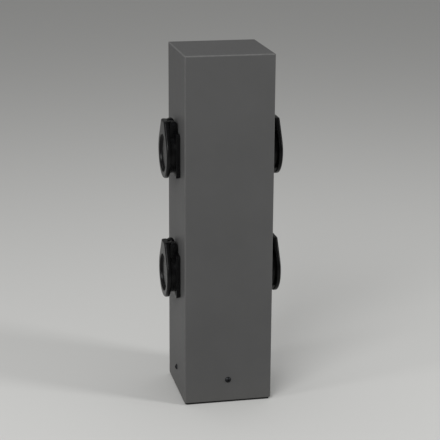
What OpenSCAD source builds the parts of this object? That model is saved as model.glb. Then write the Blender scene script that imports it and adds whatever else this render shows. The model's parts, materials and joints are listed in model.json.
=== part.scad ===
// Garden socket post: a square powder-coated column on a foot, with four lidded panel sockets.
// Millimetres, +Z up, origin at the centre of the foot on the floor.
// The plain front face looks along -Y, and the sockets sit on the -X and +X faces.

/* [Post] */
// Outer width of the square column
post_w = 100; // [98:1:140]
// Overall height from the floor to the top of the cap
post_h = 400; // [340:5:600]
// Wall of the column sleeve
wall_t = 2; // [1.5:0.5:3]
// Radius of the upright corners
corner_r = 1.2; // [0.6:0.1:1.8]

/* [Top cap] */
// Thickness of the cap plate
cap_t = 3; // [2.5:0.5:6]
// Rounding of the cap's top edges
cap_edge_r = 1.2; // [0.4:0.1:2]
// Height of the skirt inside the sleeve
skirt_h = 12; // [6:1:20]
// Wall of the skirt
skirt_t = 2; // [1.5:0.5:3]
// Play between the skirt and the sleeve
skirt_play = 0.2; // [0.1:0.1:0.5]

/* [Foot gasket] */
// Thickness of the rubber sheet under the post
foot_t = 2.5; // [2:0.5:5]
// How far the rubber stays back from the column's face
foot_inset = 1.5; // [0.5:0.5:1.5]

/* [Base plate] */
// Thickness of the base plate and its tabs
base_t = 3; // [2:0.5:4]
// Gap between the base plate and the sleeve
base_gap = 1; // [0.6:0.2:1.6]
// Width of each upturned tab
tab_w = 20; // [16:1:30]
// Hole-to-hole distance of the ground anchors, both ways
anchor_pitch = 64; // [58:1:66]
// Diameter of the anchor holes
anchor_d = 7; // [5:0.5:9]
// Hole in the base plate for the cable grommet
cable_hole_d = 18; // [16:0.5:20]
// Bore of the cable grommet
cable_bore_d = 11; // [8:0.5:12]
// Height of the grommet's lips above and below the plate
grommet_lip_t = 1.5; // [1:0.5:1.5]

/* [Side screws] */
// Height of the side screws above the sleeve's lower edge
side_screw_z = 25; // [22:1:40]
// Thread diameter of the side screws
side_screw_d = 4; // [3:0.5:4.5]
// Length of the side screws under the head
side_screw_l = 10; // [8:1:12]
// Diameter of the button heads
side_head_d = 7; // [6.5:0.5:9]
// Height of the button heads
side_head_h = 2.2; // [1.6:0.1:2.6]
// Outer diameter of the rivet nuts
rivet_nut_d = 6; // [5.5:0.5:7]
// Length of the rivet nuts behind the tab
rivet_nut_l = 6; // [5:1:8]

/* [Socket housing] */
// Height of the lower sockets' centre above the floor
lower_socket_z = 144.5; // [128:0.5:170]
// Distance from the lower to the upper sockets
socket_pitch = 139.5; // [72:0.5:180]
// Width and height of the square flange
flange_w = 50; // [46:1:58]
// Thickness of the flange
flange_t = 4; // [3:0.5:5]
// Corner radius of the flange
flange_r = 4; // [2:0.5:6]
// Thickness of the gasket behind the flange
flange_gasket_t = 1; // [0.5:0.5:2]
// Distance of the flange screws from the flange's edges
flange_screw_edge = 6; // [5.75:0.25:6.25]
// Thread diameter of the flange screws
flange_screw_d = 4; // [3:0.5:4]
// Length of the flange screws
flange_screw_l = 12; // [11:1:14]
// Width of the flange beside the round collar
flange_margin = 2; // [1.75:0.25:2.5]
// Depth of the plug well from the collar's rim
well_depth = 17.5; // [17:0.5:19]
// Wall of the round collar
collar_wall = 3.5; // [3.25:0.25:3.75]
// Height of the collar in front of the flange
collar_h = 5.5; // [5:0.5:8]
// Thickness of the well's floor
floor_t = 3; // [2:0.5:4]
// Wall of the housing behind the plug well
rear_wall_t = 2; // [1.75:0.25:2.25]

/* [Lid and hinge] */
// How far the round lid reaches past the flange on each side
lid_overhang = 3.5; // [2.5:0.5:4]
// Thickness of the lid at its raised ring
lid_t = 5; // [4:0.5:6]
// Thickness of the lid's dished floor
lid_floor_t = 2; // [1.5:0.25:2.5]
// Width of the raised ring
lid_ring_w = 8; // [7.5:0.5:9]
// Rise of the dome in the dish
lid_dome_h = 0.8; // [0.4:0.1:1]
// Width of the lid's tab in front of the hinge
lid_tab_w = 22; // [20:1:24]
// Height of the hinge axis above the flange
hinge_rise = 8.5; // [8:0.5:10]
// Diameter of the hinge barrel
barrel_d = 7.2; // [6.8:0.2:8]
// Diameter of the hinge pin
pin_d = 2.5; // [2:0.25:2.75]
// Thickness of the fixed ears of the hinge
ear_t = 3; // [2:0.25:3]
// Wire of the torsion spring
spring_wire_d = 0.6; // [0.4:0.1:0.6]
// Turns of the torsion spring
spring_turns = 5; // [3:1:5]

/* [Contacts] */
// Distance between the two line contacts
contact_pitch = 19; // [18.8:0.1:19.2]
// Diameter of the pin holes in the well's floor
contact_hole_d = 5.2; // [5:0.1:5.6]
// Depth of the contact carrier
carrier_t = 16; // [15:0.5:18]
// Width and height of the terminal blocks
terminal_w = 7; // [6.6:0.2:7.4]
// Length of the terminal blocks
terminal_l = 9; // [8.5:0.5:10]
// Thickness of the earth clip's strip
clip_t = 0.8; // [0.6:0.1:1]
// Width of the earth clip's strip
clip_w = 5; // [4:0.5:6]

/* [Wiring] */
// Outer diameter of the insulated wires
wire_d = 3; // [2.6:0.1:3.2]
// Diameter of the bare conductors
conductor_d = 1.4; // [1.2:0.1:1.6]
// Bend radius of the wires at their centre line
wire_bend_r = 5; // [4:0.5:6]
// Distance between the ways of a splice connector
way_pitch = 6; // [5.8:0.1:6.2]
// Height of the splice connectors
splice_h = 18.6; // [17:0.2:20]
// Thickness of the splice connectors
splice_t = 8.4; // [7.6:0.2:8.6]
// Height of the splice connectors above the base plate
splice_z = 62; // [60:1:70]
// Sheet of the terminal bracket
bracket_t = 2; // [1.5:0.5:3]
// Width of the terminal bracket
bracket_w = 40; // [36:1:44]

/* [Hidden] */
$fn = 64;

COAT = "#55565a";
BLACK_PLASTIC = "#1b1b1d";
RUBBER = "#141414";
ZINC = "#a8abad";
BLACK_STEEL = "#2a2a2c";
BRASS = "#c9a64f";
COPPER = "#b87346";
NICKEL = "#b9b6ac";
GREY_PLASTIC = "#8f9294";
CLEAR_PLASTIC = "#d9dee0";
PALE_PLASTIC = "#d8d5cb";
BROWN = "#5b3a24";
BLUE = "#2f62ae";
GREEN_YELLOW = "#5d8f36";

// Clearances
overcut = 1;
thread_play = 0.05;
screw_play = 0.25;
rotor_play = 0.06;
face_play = 0.3;
fit_play = 0.15;
bite = 0.1;

// Column
inner_w = post_w - 2 * wall_t;
sleeve_top = post_h - cap_t;
side_z = foot_t + side_screw_z;
base_top = foot_t + base_t;
plate_w = inner_w - 2 * base_gap;
tab_over_nut = 7;
tab_top = side_z + rivet_nut_d / 2 + tab_over_nut;
rivet_lip_w = 1.5;
rivet_bulge = 0.8;
rivet_bulge_l = 2.5;
tab_notch_w = 1.5;
anchor_seal_gap = 0.5;

// Grommet in the base plate
grommet_lip_w = 2;
grommet_lip_slope = 1;
grommet_lip_r = cable_hole_d / 2 + grommet_lip_w;
grommet_bottom = foot_t - grommet_lip_t;
grommet_top = base_top + grommet_lip_t;

// Sockets: name, side of the post and height of the centre
upper_socket_z = lower_socket_z + socket_pitch;
SOCKETS = [
    ["left_upper", -1, upper_socket_z],
    ["left_lower", -1, lower_socket_z],
    ["right_upper", 1, upper_socket_z],
    ["right_lower", 1, lower_socket_z]
];

// Socket frame: X is the distance in front of the post's face, Y runs across, Z up from the centre
flange_front = flange_gasket_t + flange_t;
collar_front = flange_front + collar_h;
flange_screw_pitch = flange_w - 2 * flange_screw_edge;
collar_r = flange_w / 2 - flange_margin;
well_r = collar_r - collar_wall;
body_step = 1.8;
body_r = collar_r - body_step;
body_play = 0.4;
cavity_r = body_r - rear_wall_t;
gasket_inset = 0.5;
gasket_play = 0.2;
floor_front = collar_front - well_depth;
floor_back = floor_front - floor_t;
carrier_back = floor_back - carrier_t;
carrier_play = 0.2;
carrier_r = cavity_r - carrier_play;
terminal_out = 5;
terminal_back = carrier_back - terminal_out;
terminal_front = terminal_back + terminal_l;
contact_y = contact_pitch / 2;
contact_tube_r = 3.3;
contact_bore_r = 2.45;
contact_end_wall = 1;
contact_slit_w = 1;
contact_slit_start = 2;
terminal_screw_d = 2.9;
terminal_screw_rise = 3;
terminal_screw_x = terminal_back + terminal_out / 2;
flange_hole_r = flange_screw_d / 2 + screw_play;
flange_head_r = flange_screw_d * 0.9;
flange_nut_r = flange_screw_d * 0.875 / cos(30);
flange_nut_h = flange_screw_d * 0.8;
flange_head_h = flange_screw_d * 0.45;
guide_in = 2.1;
guide_w = 4.8;
guide_short = 1.5;
latch_w = 6;
latch_end = 2;
latch_x = carrier_back + latch_end;
latch_l = 4;
latch_play = 0.2;
latch_root = 1.5;
latch_inset = 0.5;

// Earth clip
clip_gap = 0.6;
clip_root_z = cavity_r - clip_gap;
clip_slot_play = 0.4;
clip_nose_in = 1.6;
clip_tip_out = 0.2;
clip_tip_short = 1.7;
clip_straight_l = 3;
clip_bend_step = 0.2;

// Lid
lid_r = flange_w / 2 + lid_overhang;
lid_back = collar_front + face_play;
lid_front = lid_back + lid_t;
lid_edge_r = 2;
dish_r = lid_r - lid_ring_w;
dish_floor = lid_back + lid_floor_t;
dish_wall_slope = 0.6;
back_pad_r = lid_r / 3;
back_recess = 0.6;
back_rim_w = 1.5;
seal_step = 1;
seal_inner_r = well_r + seal_step;
seal_outer_r = collar_r;
seal_depth = 1.4;
seal_front_play = 0.1;

// Hinge
barrel_r = barrel_d / 2;
pin_r = pin_d / 2;
tab_step = 0.8;
tab_step_rise = 2;
tab_back = lid_back - tab_step;
hinge_play = 0.6;
hinge_x = tab_back - hinge_play - barrel_r;
hinge_z = flange_w / 2 + hinge_rise;
ear_overhang = 0.5;
ear_root = 2;
ear_lift = 0.2;
pin_inset = 0.5;
hinge_half_w = lid_tab_w / 2 + ear_overhang;
ear_inner = hinge_half_w - ear_t;
ear_back = flange_gasket_t + ear_lift;
arm_outer = ear_inner - face_play;
tab_top_z = hinge_z + barrel_r;
tab_corner_r = 3;
tab_edge_r = 2;

// Torsion spring on the hinge pin
spring_play = 0.25;
spring_turn_gap = 0.5;
spring_side_play = 0.35;
spring_r = pin_r + spring_wire_d / 2 + spring_play;
spring_pitch = spring_wire_d + spring_turn_gap;
spring_half_w = (spring_turns * spring_pitch + spring_wire_d) / 2;
spring_leg = 3.4;
spring_steps = 8;
spring_sides = 6;
arm_inner = spring_half_w + spring_side_play;
ledge_top = hinge_z + spring_r - spring_wire_d / 2 - fit_play;
ledge_front = hinge_x - spring_r - spring_wire_d / 2 - fit_play;
ledge_half_w = spring_half_w;

// Wiring
wire_r = wire_d / 2;
conductor_r = conductor_d / 2;
splice_bottom = base_top + splice_z;
splice_top = splice_bottom + splice_h;
insulation_in = 8;
bar_low = 3;
bar_t = 1;
bar_end = 1.5;
bar_play = 0.2;
conductor_drop = 1;
splice_wall = 1;
pocket_h = 6;
pocket_top = bar_low + pocket_h;
wire_start = splice_top - insulation_in;
conductor_start = splice_bottom + bar_low + conductor_drop;
terminal_hole_r = 2 * conductor_r;
terminal_reach = post_w / 2 + terminal_back;
conductor_in = 5;
loop_r = 6;
loop_rise = 8;
loop_z = splice_top + loop_rise;

// Splice holder and bracket
holder_t = 2;
tray_t = 2;
tray_rim_t = 1.5;
tray_rim_h = 8;
tray_rib_h = 4;
tray_half_w = 3.5 * way_pitch + fit_play + tray_rim_t;
tray_front = -(contact_y + splice_t / 2 + fit_play + tray_rim_t);
holder_front = contact_y + splice_t / 2 + face_play;
bracket_front = holder_front + holder_t;
bracket_back = bracket_front + bracket_t;
bracket_over = 6;
bracket_top = splice_top + bracket_over;
bracket_foot_l = 18;
bracket_screw_d = 4;
bracket_screw_l = 5;
bracket_head_d = 7;
bracket_head_h = 2.4;
foot_screw_x = 12;
foot_screw_in = 10;
foot_screw_y = bracket_back + foot_screw_in;
holder_screw_x = 15;
holder_screw_drop = 6;
holder_tail = 5;
holder_screw_z = splice_bottom - tray_t - holder_screw_drop;
holder_low = holder_screw_z - holder_tail;

// Strain relief for the feed cable
relief_w = 32;
relief_h = 14;
relief_rise = 30;
relief_z = base_top + relief_rise;
relief_split = 1;
relief_strap_t = 2.5;
relief_squeeze = 0.3;
relief_screw_out = 1;
relief_r = cable_bore_d / 2 - relief_squeeze;
relief_screw_x = 12;
relief_screw_d = 4;

// Earth studs and ring lugs
stud_d = 3.9;
stud_l = 12;
washer_t = 0.9;
washer_r = 4.4;
lug_t = 0.8;
lug_r = 4.2;
lug_w = 5;
lug_offset = 5;
lug_leg_h = 7;
lug_barrel_r = 2;
lug_barrel_l = 6;
lug_overlap = 0.5;
earth_nut_w = 7;
earth_nut_r = earth_nut_w / 2 / cos(30);
earth_nut_h = 3.2;
base_stud_x = 3 * way_pitch + 2 * loop_r + lug_offset;
sleeve_stud_x = -3 * way_pitch;
sleeve_wire_z = loop_z + wire_bend_r;

POST_NODES = [
    "column_sleeve", "top_cap", "base_plate", "foot_gasket", "sleeve_screws", "rivet_nuts",
    "cable_grommet", "terminal_bracket", "bracket_screws", "connector_holder",
    "splice_connectors", "splice_bars", "strain_relief_base", "strain_relief_strap",
    "strain_relief_screws", "earth_studs", "ring_lugs", "live_wires", "neutral_wires",
    "earth_wires", "flange_screws", "flange_nuts", "terminal_screws"
];
SOCKET_NODES = [
    "socket_housing", "flange_gasket", "contact_carrier", "line_contacts", "earth_clip",
    "hinge_pin", "lid_spring", "lid", "lid_seal"
];

// Places its children on one socket's seat, with X pointing away from the post
module at_socket(s) {
    translate([s[1] * post_w / 2, 0, s[2]]) rotate([0, 0, s[1] < 0 ? 180 : 0]) children();
}

// Places its children at the four flange screws of one socket
module at_flange_screws() {
    for (y = [-1, 1], z = [-1, 1]) {
        translate([0, y * flange_screw_pitch / 2, z * flange_screw_pitch / 2]) children();
    }
}

// Places its children at the middle of the four sides of the post, X outwards
module at_four_sides() {
    for (turn = [0 : 90 : 270]) rotate([0, 0, turn]) children();
}

// A cylinder along X from one depth to another
module rod_x(from, to, r) {
    translate([from, 0, 0]) rotate([0, 90, 0]) cylinder(r = r, h = to - from);
}

// A cone along X from one depth to another
module cone_x(from, to, r1, r2) {
    translate([from, 0, 0]) rotate([0, 90, 0]) cylinder(r1 = r1, r2 = r2, h = to - from);
}

// A cylinder along Y on the hinge axis
module hinge_rod(from, to, r) {
    translate([hinge_x, to, hinge_z]) rotate([90, 0, 0]) cylinder(r = r, h = to - from);
}

// A block given by its two far corners
module block(low, high) {
    translate(low) cube(high - low);
}

// A flat outline with round corners, centred
module rounded_outline(w, h, r) {
    square([w - 2 * r, h], center = true);
    square([w, h - 2 * r], center = true);
    for (x = [-1, 1], y = [-1, 1]) {
        translate([x * (w / 2 - r), y * (h / 2 - r)]) circle(r);
    }
}

// A round-cornered plate standing on X, from one depth to another
module plate_x(from, to, w, r) {
    translate([from, 0, 0]) rotate([90, 0, 90]) linear_extrude(to - from) rounded_outline(w, w, r);
}

// What is cut from the corner of an outline to round it, for a corner that points along dx, dy
module corner_cut(x, y, r, dx, dy) {
    translate([x - dx * r, y - dy * r]) mirror([dx < 0 ? 1 : 0, 0]) mirror([0, dy < 0 ? 1 : 0])
        difference() {
            square(r + overcut);
            circle(r);
        }
}

module column_sleeve() {
    color(COAT) difference() {
        translate([0, 0, foot_t]) linear_extrude(sleeve_top - foot_t)
            rounded_outline(post_w, post_w, corner_r);
        translate([-inner_w / 2, -inner_w / 2, foot_t - overcut])
            cube([inner_w, inner_w, post_h]);
        for (s = SOCKETS) at_socket(s) {
            rod_x(-wall_t - overcut, overcut, body_r + body_play);
            at_flange_screws() rod_x(-wall_t - overcut, overcut, flange_hole_r);
        }
        at_four_sides() translate([post_w / 2, 0, side_z])
            rod_x(-wall_t - overcut, overcut, side_screw_d / 2 + screw_play);
    }
}

// Side view of the cap plate, with its two top corners rounded
module cap_section() {
    difference() {
        translate([-post_w / 2, 0]) square([post_w, cap_t]);
        corner_cut(post_w / 2, cap_t, cap_edge_r, 1, 1);
        corner_cut(-post_w / 2, cap_t, cap_edge_r, -1, 1);
    }
}

module top_cap() {
    skirt_w = inner_w - 2 * skirt_play;
    color(COAT) {
        translate([0, 0, sleeve_top]) intersection() {
            linear_extrude(cap_t) rounded_outline(post_w, post_w, corner_r);
            rotate([90, 0, 0]) linear_extrude(post_w + 2 * overcut, center = true) cap_section();
            rotate([90, 0, 90]) linear_extrude(post_w + 2 * overcut, center = true) cap_section();
        }
        difference() {
            translate([-skirt_w / 2, -skirt_w / 2, sleeve_top - skirt_h])
                cube([skirt_w, skirt_w, skirt_h]);
            translate([-skirt_w / 2 + skirt_t, -skirt_w / 2 + skirt_t, sleeve_top - skirt_h - overcut])
                cube([skirt_w - 2 * skirt_t, skirt_w - 2 * skirt_t, skirt_h + overcut]);
        }
    }
}

// Places its children at the four ground anchors
module at_anchors() {
    for (x = [-1, 1], y = [-1, 1]) translate([x, y, 0] * anchor_pitch / 2) children();
}

// Folded steel plate that is bolted to the ground and holds the sleeve by its four tabs
module base_plate() {
    color(ZINC) difference() {
        union() {
            translate([-plate_w / 2, -plate_w / 2, foot_t]) cube([plate_w, plate_w, base_t]);
            at_four_sides() block(
                [plate_w / 2 - base_t, -tab_w / 2, foot_t],
                [plate_w / 2, tab_w / 2, tab_top]
            );
        }
        at_anchors() translate([0, 0, foot_t - overcut])
            cylinder(d = anchor_d, h = base_t + 2 * overcut);
        translate([0, 0, foot_t - overcut]) cylinder(d = cable_hole_d, h = base_t + 2 * overcut);
        at_four_sides() {
            translate([plate_w / 2, 0, side_z])
                rod_x(-base_t - overcut, overcut, rivet_nut_d / 2);
            for (y = [-tab_w / 2 - tab_notch_w, tab_w / 2])
                translate([plate_w / 2 - base_t, y, foot_t - overcut])
                    cube([base_t + overcut, tab_notch_w, base_t + 2 * overcut]);
        }
        for (x = [-foot_screw_x, foot_screw_x]) translate([x, foot_screw_y, foot_t - overcut])
            cylinder(r = bracket_screw_d / 2 + thread_play, h = base_t + 2 * overcut);
    }
}

module foot_gasket() {
    foot_w = post_w - 2 * foot_inset;
    foot_corner_r = corner_r + foot_inset / 2;
    color(RUBBER) difference() {
        linear_extrude(foot_t) rounded_outline(foot_w, foot_w, foot_corner_r);
        at_anchors() translate([0, 0, -overcut])
            cylinder(r = anchor_d / 2 + anchor_seal_gap, h = foot_t + 2 * overcut);
        translate([0, 0, -overcut])
            cylinder(r = grommet_lip_r + grommet_lip_slope, h = foot_t + 2 * overcut);
    }
}

// Button head with a hexagon socket: the shank runs along -Z from the head's seat
module button_screw(d, l, head_d, head_h) {
    dome_r = (head_d * head_d / 4 + head_h * head_h) / (2 * head_h);
    difference() {
        union() {
            intersection() {
                translate([0, 0, head_h - dome_r]) sphere(dome_r);
                cylinder(d = head_d, h = head_h);
            }
            translate([0, 0, -l]) cylinder(d = d, h = l + bite);
        }
        translate([0, 0, head_h * 0.35]) cylinder(r = d * 0.36, h = head_h, $fn = 6);
    }
}

module sleeve_screws() {
    color(BLACK_STEEL) at_four_sides() translate([post_w / 2, 0, side_z]) rotate([0, 90, 0])
        button_screw(side_screw_d, side_screw_l, side_head_d, side_head_h);
}

module rivet_nuts() {
    color(ZINC) at_four_sides() translate([plate_w / 2, 0, side_z]) difference() {
        union() {
            rod_x(0, base_gap, rivet_nut_d / 2 + rivet_lip_w);
            rod_x(-base_t - rivet_nut_l, bite, rivet_nut_d / 2);
            rod_x(-base_t - rivet_bulge_l, -base_t, rivet_nut_d / 2 + rivet_bulge);
        }
        rod_x(-base_t - rivet_nut_l - overcut, base_gap + overcut, side_screw_d / 2 + thread_play);
    }
}

module cable_grommet() {
    neck_r = cable_hole_d / 2 - thread_play;
    color(RUBBER) rotate_extrude() polygon([
        [cable_bore_d / 2, grommet_bottom],
        [grommet_lip_r, grommet_bottom],
        [grommet_lip_r, foot_t],
        [neck_r, foot_t],
        [neck_r, base_top],
        [grommet_lip_r, base_top],
        [grommet_lip_r - grommet_lip_slope, grommet_top],
        [cable_bore_d / 2, grommet_top]
    ]);
}

// Folded steel bracket that stands on the base plate and carries the connectors and the cable clamp
module terminal_bracket() {
    color(ZINC) difference() {
        union() {
            block([-bracket_w / 2, bracket_front, base_top], [bracket_w / 2, bracket_back, bracket_top]);
            block(
                [-bracket_w / 2, bracket_front, base_top],
                [bracket_w / 2, bracket_back + bracket_foot_l, base_top + bracket_t]
            );
        }
        for (x = [-foot_screw_x, foot_screw_x]) translate([x, foot_screw_y, base_top - overcut])
            cylinder(r = bracket_screw_d / 2 + screw_play, h = bracket_t + 2 * overcut);
        for (x = [-holder_screw_x, holder_screw_x])
            translate([x, bracket_back + overcut, holder_screw_z]) rotate([90, 0, 0])
                cylinder(r = bracket_screw_d / 2 + thread_play, h = bracket_t + 2 * overcut);
        for (x = [-relief_screw_x, relief_screw_x])
            translate([x, bracket_back + overcut, relief_z + relief_h / 2]) rotate([90, 0, 0])
                cylinder(r = relief_screw_d / 2 + thread_play, h = bracket_t + 2 * overcut);
    }
}

// Pan head with a cross slot: the shank runs along -Z from the head's seat
module pan_screw(d, l, head_d, head_h) {
    slot_w = d * 0.2;
    difference() {
        union() {
            cylinder(d = head_d, h = head_h);
            translate([0, 0, -l]) cylinder(d = d, h = l + bite);
        }
        for (turn = [0, 90]) rotate([0, 0, turn]) translate([-d / 2, -slot_w / 2, head_h * 0.5])
            cube([d, slot_w, head_h]);
    }
}

module bracket_screws() {
    color(ZINC) {
        for (x = [-foot_screw_x, foot_screw_x]) translate([x, foot_screw_y, base_top + bracket_t])
            pan_screw(bracket_screw_d, bracket_screw_l, bracket_head_d, bracket_head_h);
        for (x = [-holder_screw_x, holder_screw_x]) translate([x, holder_front, holder_screw_z])
            rotate([90, 0, 0])
                pan_screw(bracket_screw_d, bracket_screw_l, bracket_head_d, bracket_head_h);
    }
}

// Moulded tray that holds the three splice connectors side by side
module connector_holder() {
    tray_bottom = splice_bottom - tray_t;
    rim_top = splice_bottom + tray_rim_h;
    rib_top = splice_bottom + tray_rib_h;
    short_half_w = 2.5 * way_pitch + fit_play;
    rib_low = splice_t / 2 + fit_play;
    rib_high = contact_y - splice_t / 2 - fit_play;
    color(GREY_PLASTIC) difference() {
        union() {
            block([-tray_half_w, tray_front, tray_bottom], [tray_half_w, bracket_front, splice_bottom]);
            block([-tray_half_w, holder_front, holder_low], [tray_half_w, bracket_front, rim_top]);
            block(
                [-tray_half_w, tray_front, tray_bottom],
                [tray_half_w, tray_front + tray_rim_t, rim_top]
            );
            for (side = [0, 1]) mirror([side, 0, 0]) {
                block(
                    [tray_half_w - tray_rim_t, tray_front, tray_bottom],
                    [tray_half_w, bracket_front, rim_top]
                );
                block(
                    [short_half_w, rib_high, tray_bottom],
                    [short_half_w + tray_rim_t, holder_front, rib_top]
                );
                block(
                    [short_half_w, tray_front, tray_bottom],
                    [short_half_w + tray_rim_t, -rib_high, rib_top]
                );
            }
            for (side = [0, 1]) mirror([0, side, 0])
                block([-tray_half_w, rib_low, tray_bottom], [tray_half_w, rib_high, rib_top]);
        }
        for (x = [-holder_screw_x, holder_screw_x])
            translate([x, bracket_front + overcut, holder_screw_z]) rotate([90, 0, 0])
                cylinder(r = bracket_screw_d / 2 + screw_play, h = holder_t + 2 * overcut);
    }
}

// Positions of the three connectors: place along Y and number of ways
SPLICES = [[-contact_y, 5], [contact_y, 5], [0, 7]];

// Push-in connector with its wire entries on top and a pocket for its bar
module splice_body(ways) {
    body_w = ways * way_pitch;
    difference() {
        block([-body_w / 2, -splice_t / 2, 0], [body_w / 2, splice_t / 2, splice_h]);
        for (way = [0 : ways - 1])
            translate([(way - (ways - 1) / 2) * way_pitch, 0, pocket_top - overcut])
                cylinder(r = wire_r + fit_play, h = splice_h);
        block(
            [-body_w / 2 + splice_wall, -2 * bar_t, bar_low],
            [body_w / 2 - splice_wall, 2 * bar_t, pocket_top]
        );
    }
}

module splice_connectors() {
    color(CLEAR_PLASTIC) for (p = SPLICES) translate([0, p[0], splice_bottom]) splice_body(p[1]);
}

module splice_bars() {
    color(COPPER) for (p = SPLICES) translate([0, p[0], splice_bottom]) {
        half = (p[1] - 1) * way_pitch / 2 + bar_end;
        bar_side = conductor_r + thread_play;
        block([-half, bar_side, bar_low], [half, bar_side + bar_t, pocket_top - bar_play]);
    }
}

module strain_relief_base() {
    color(BLACK_PLASTIC) difference() {
        block(
            [-relief_w / 2, relief_split, relief_z],
            [relief_w / 2, bracket_front, relief_z + relief_h]
        );
        translate([0, 0, relief_z - overcut]) cylinder(r = relief_r, h = relief_h + 2 * overcut);
        relief_screw_holes();
    }
}

// The two screw holes through the strain relief
module relief_screw_holes() {
    for (x = [-relief_screw_x, relief_screw_x])
        translate([x, bracket_front + overcut, relief_z + relief_h / 2]) rotate([90, 0, 0])
            cylinder(r = relief_screw_d / 2 + screw_play, h = bracket_front + relief_w);
}

module strain_relief_strap() {
    color(BLACK_PLASTIC) difference() {
        union() {
            block(
                [-relief_w / 2, -relief_split - relief_strap_t, relief_z],
                [relief_w / 2, -relief_split, relief_z + relief_h]
            );
            intersection() {
                translate([0, 0, relief_z]) cylinder(r = relief_r + relief_strap_t, h = relief_h);
                block([-relief_w, -relief_w, relief_z], [relief_w, -relief_split, relief_z + relief_h]);
            }
        }
        translate([0, 0, relief_z - overcut]) cylinder(r = relief_r, h = relief_h + 2 * overcut);
        relief_screw_holes();
    }
}

module strain_relief_screws() {
    seat_y = -relief_split - relief_strap_t;
    color(ZINC) for (x = [-relief_screw_x, relief_screw_x])
        translate([x, seat_y, relief_z + relief_h / 2]) rotate([90, 0, 0])
            pan_screw(relief_screw_d, bracket_back + relief_screw_out - seat_y, bracket_head_d, bracket_head_h);
}

// Places its children on the two earth studs: Z leaves the surface, the wire comes in on the -X side
module at_earth_studs() {
    translate([base_stud_x, 0, base_top]) children();
    translate([sleeve_stud_x, inner_w / 2, sleeve_wire_z + lug_offset])
        rotate([90, 0, 0]) rotate([0, 0, 90]) children();
}

// Flat washer on a stud
module stud_washer(z) {
    translate([0, 0, z]) difference() {
        cylinder(r = washer_r, h = washer_t);
        translate([0, 0, -overcut]) cylinder(r = stud_d / 2 + fit_play, h = washer_t + 2 * overcut);
    }
}

module earth_studs() {
    nut_z = 2 * washer_t + lug_t + thread_play;
    color(BRASS) at_earth_studs() {
        cylinder(d = stud_d, h = stud_l);
        stud_washer(0);
        stud_washer(washer_t + lug_t);
        translate([0, 0, nut_z]) difference() {
            cylinder(r = earth_nut_r, h = earth_nut_h, $fn = 6);
            translate([0, 0, -overcut])
                cylinder(r = stud_d / 2 + thread_play, h = earth_nut_h + 2 * overcut);
        }
    }
}

// Crimped ring lugs, bent up so that the wire leaves along the stud
module ring_lugs() {
    color(COPPER) at_earth_studs() difference() {
        union() {
            translate([0, 0, washer_t]) cylinder(r = lug_r, h = lug_t);
            block([-lug_offset, -lug_w / 2, washer_t], [0, lug_w / 2, washer_t + lug_t]);
            block(
                [-lug_offset - lug_t / 2, -lug_w / 2, washer_t],
                [-lug_offset + lug_t / 2, lug_w / 2, lug_leg_h]
            );
            translate([-lug_offset, 0, lug_leg_h - lug_overlap])
                cylinder(r = lug_barrel_r, h = lug_barrel_l);
        }
        cylinder(r = stud_d / 2 + fit_play, h = lug_leg_h);
        translate([-lug_offset, 0, lug_leg_h]) cylinder(r = conductor_r + thread_play, h = lug_barrel_l);
    }
}

// A quarter turn of wire that rises along Z and leaves along X at height z
module wire_bend(z) {
    translate([wire_bend_r, 0, z - wire_bend_r]) rotate([90, 0, 0]) rotate([0, 0, 90])
        rotate_extrude(angle = 90) translate([wire_bend_r, 0]) circle(wire_r);
}

// The stripped end of a wire in its connector way
module wire_root() {
    translate([0, 0, conductor_start]) cylinder(r = conductor_r, h = wire_start - conductor_start + bite);
}

// A wire out of a connector way: up to height z, then along X as far as reach
module bent_wire(z, reach) {
    wire_root();
    translate([0, 0, wire_start]) cylinder(r = wire_r, h = z - wire_bend_r - wire_start);
    wire_bend(z);
    translate([0, 0, z]) {
        rod_x(wire_bend_r, reach, wire_r);
        rod_x(reach - bite, reach + conductor_in, conductor_r);
    }
}

// The four wires of one pole: the lower sockets' wires run outside the upper sockets' wires
module pole_wires(y) {
    for (s = SOCKETS) {
        x = (s[2] == lower_socket_z ? 2 : 1) * way_pitch;
        rotate([0, 0, s[1] < 0 ? 180 : 0]) translate([x, s[1] * y, 0])
            bent_wire(s[2], terminal_reach - x);
    }
}

module live_wires() {
    color(BROWN) pole_wires(-contact_y);
}

module neutral_wires() {
    color(BLUE) pole_wires(contact_y);
}

module earth_wires() {
    lug_end = lug_leg_h - lug_overlap + lug_barrel_l;
    drop_end = base_top + lug_end;
    color(GREEN_YELLOW) {
        pole_wires(0);
        translate([sleeve_stud_x, 0, 0]) rotate([0, 0, 90])
            bent_wire(sleeve_wire_z, inner_w / 2 - lug_end);
        translate([3 * way_pitch, 0, 0]) {
            wire_root();
            translate([0, 0, wire_start]) cylinder(r = wire_r, h = loop_z - wire_start);
            translate([loop_r, 0, loop_z]) rotate([90, 0, 0])
                rotate_extrude(angle = 180) translate([loop_r, 0]) circle(wire_r);
            translate([2 * loop_r, 0, drop_end]) cylinder(r = wire_r, h = loop_z - drop_end);
            translate([2 * loop_r, 0, drop_end - conductor_in])
                cylinder(r = conductor_r, h = conductor_in + bite);
        }
    }
}

module flange_screws() {
    slot_half_w = flange_screw_d * 0.1;
    slot_half_l = flange_screw_d * 0.5;
    color(BLACK_STEEL) for (s = SOCKETS) at_socket(s) at_flange_screws() difference() {
        union() {
            cone_x(flange_front - flange_head_h, flange_front - bite, flange_screw_d / 2, flange_head_r);
            rod_x(flange_front - flange_screw_l, flange_front - flange_head_h + bite, flange_screw_d / 2);
        }
        for (turn = [0, 90]) rotate([turn, 0, 0])
            block(
                [flange_front - flange_head_h * 0.6, -slot_half_w, -slot_half_l],
                [flange_front + overcut, slot_half_w, slot_half_l]
            );
    }
}

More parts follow.
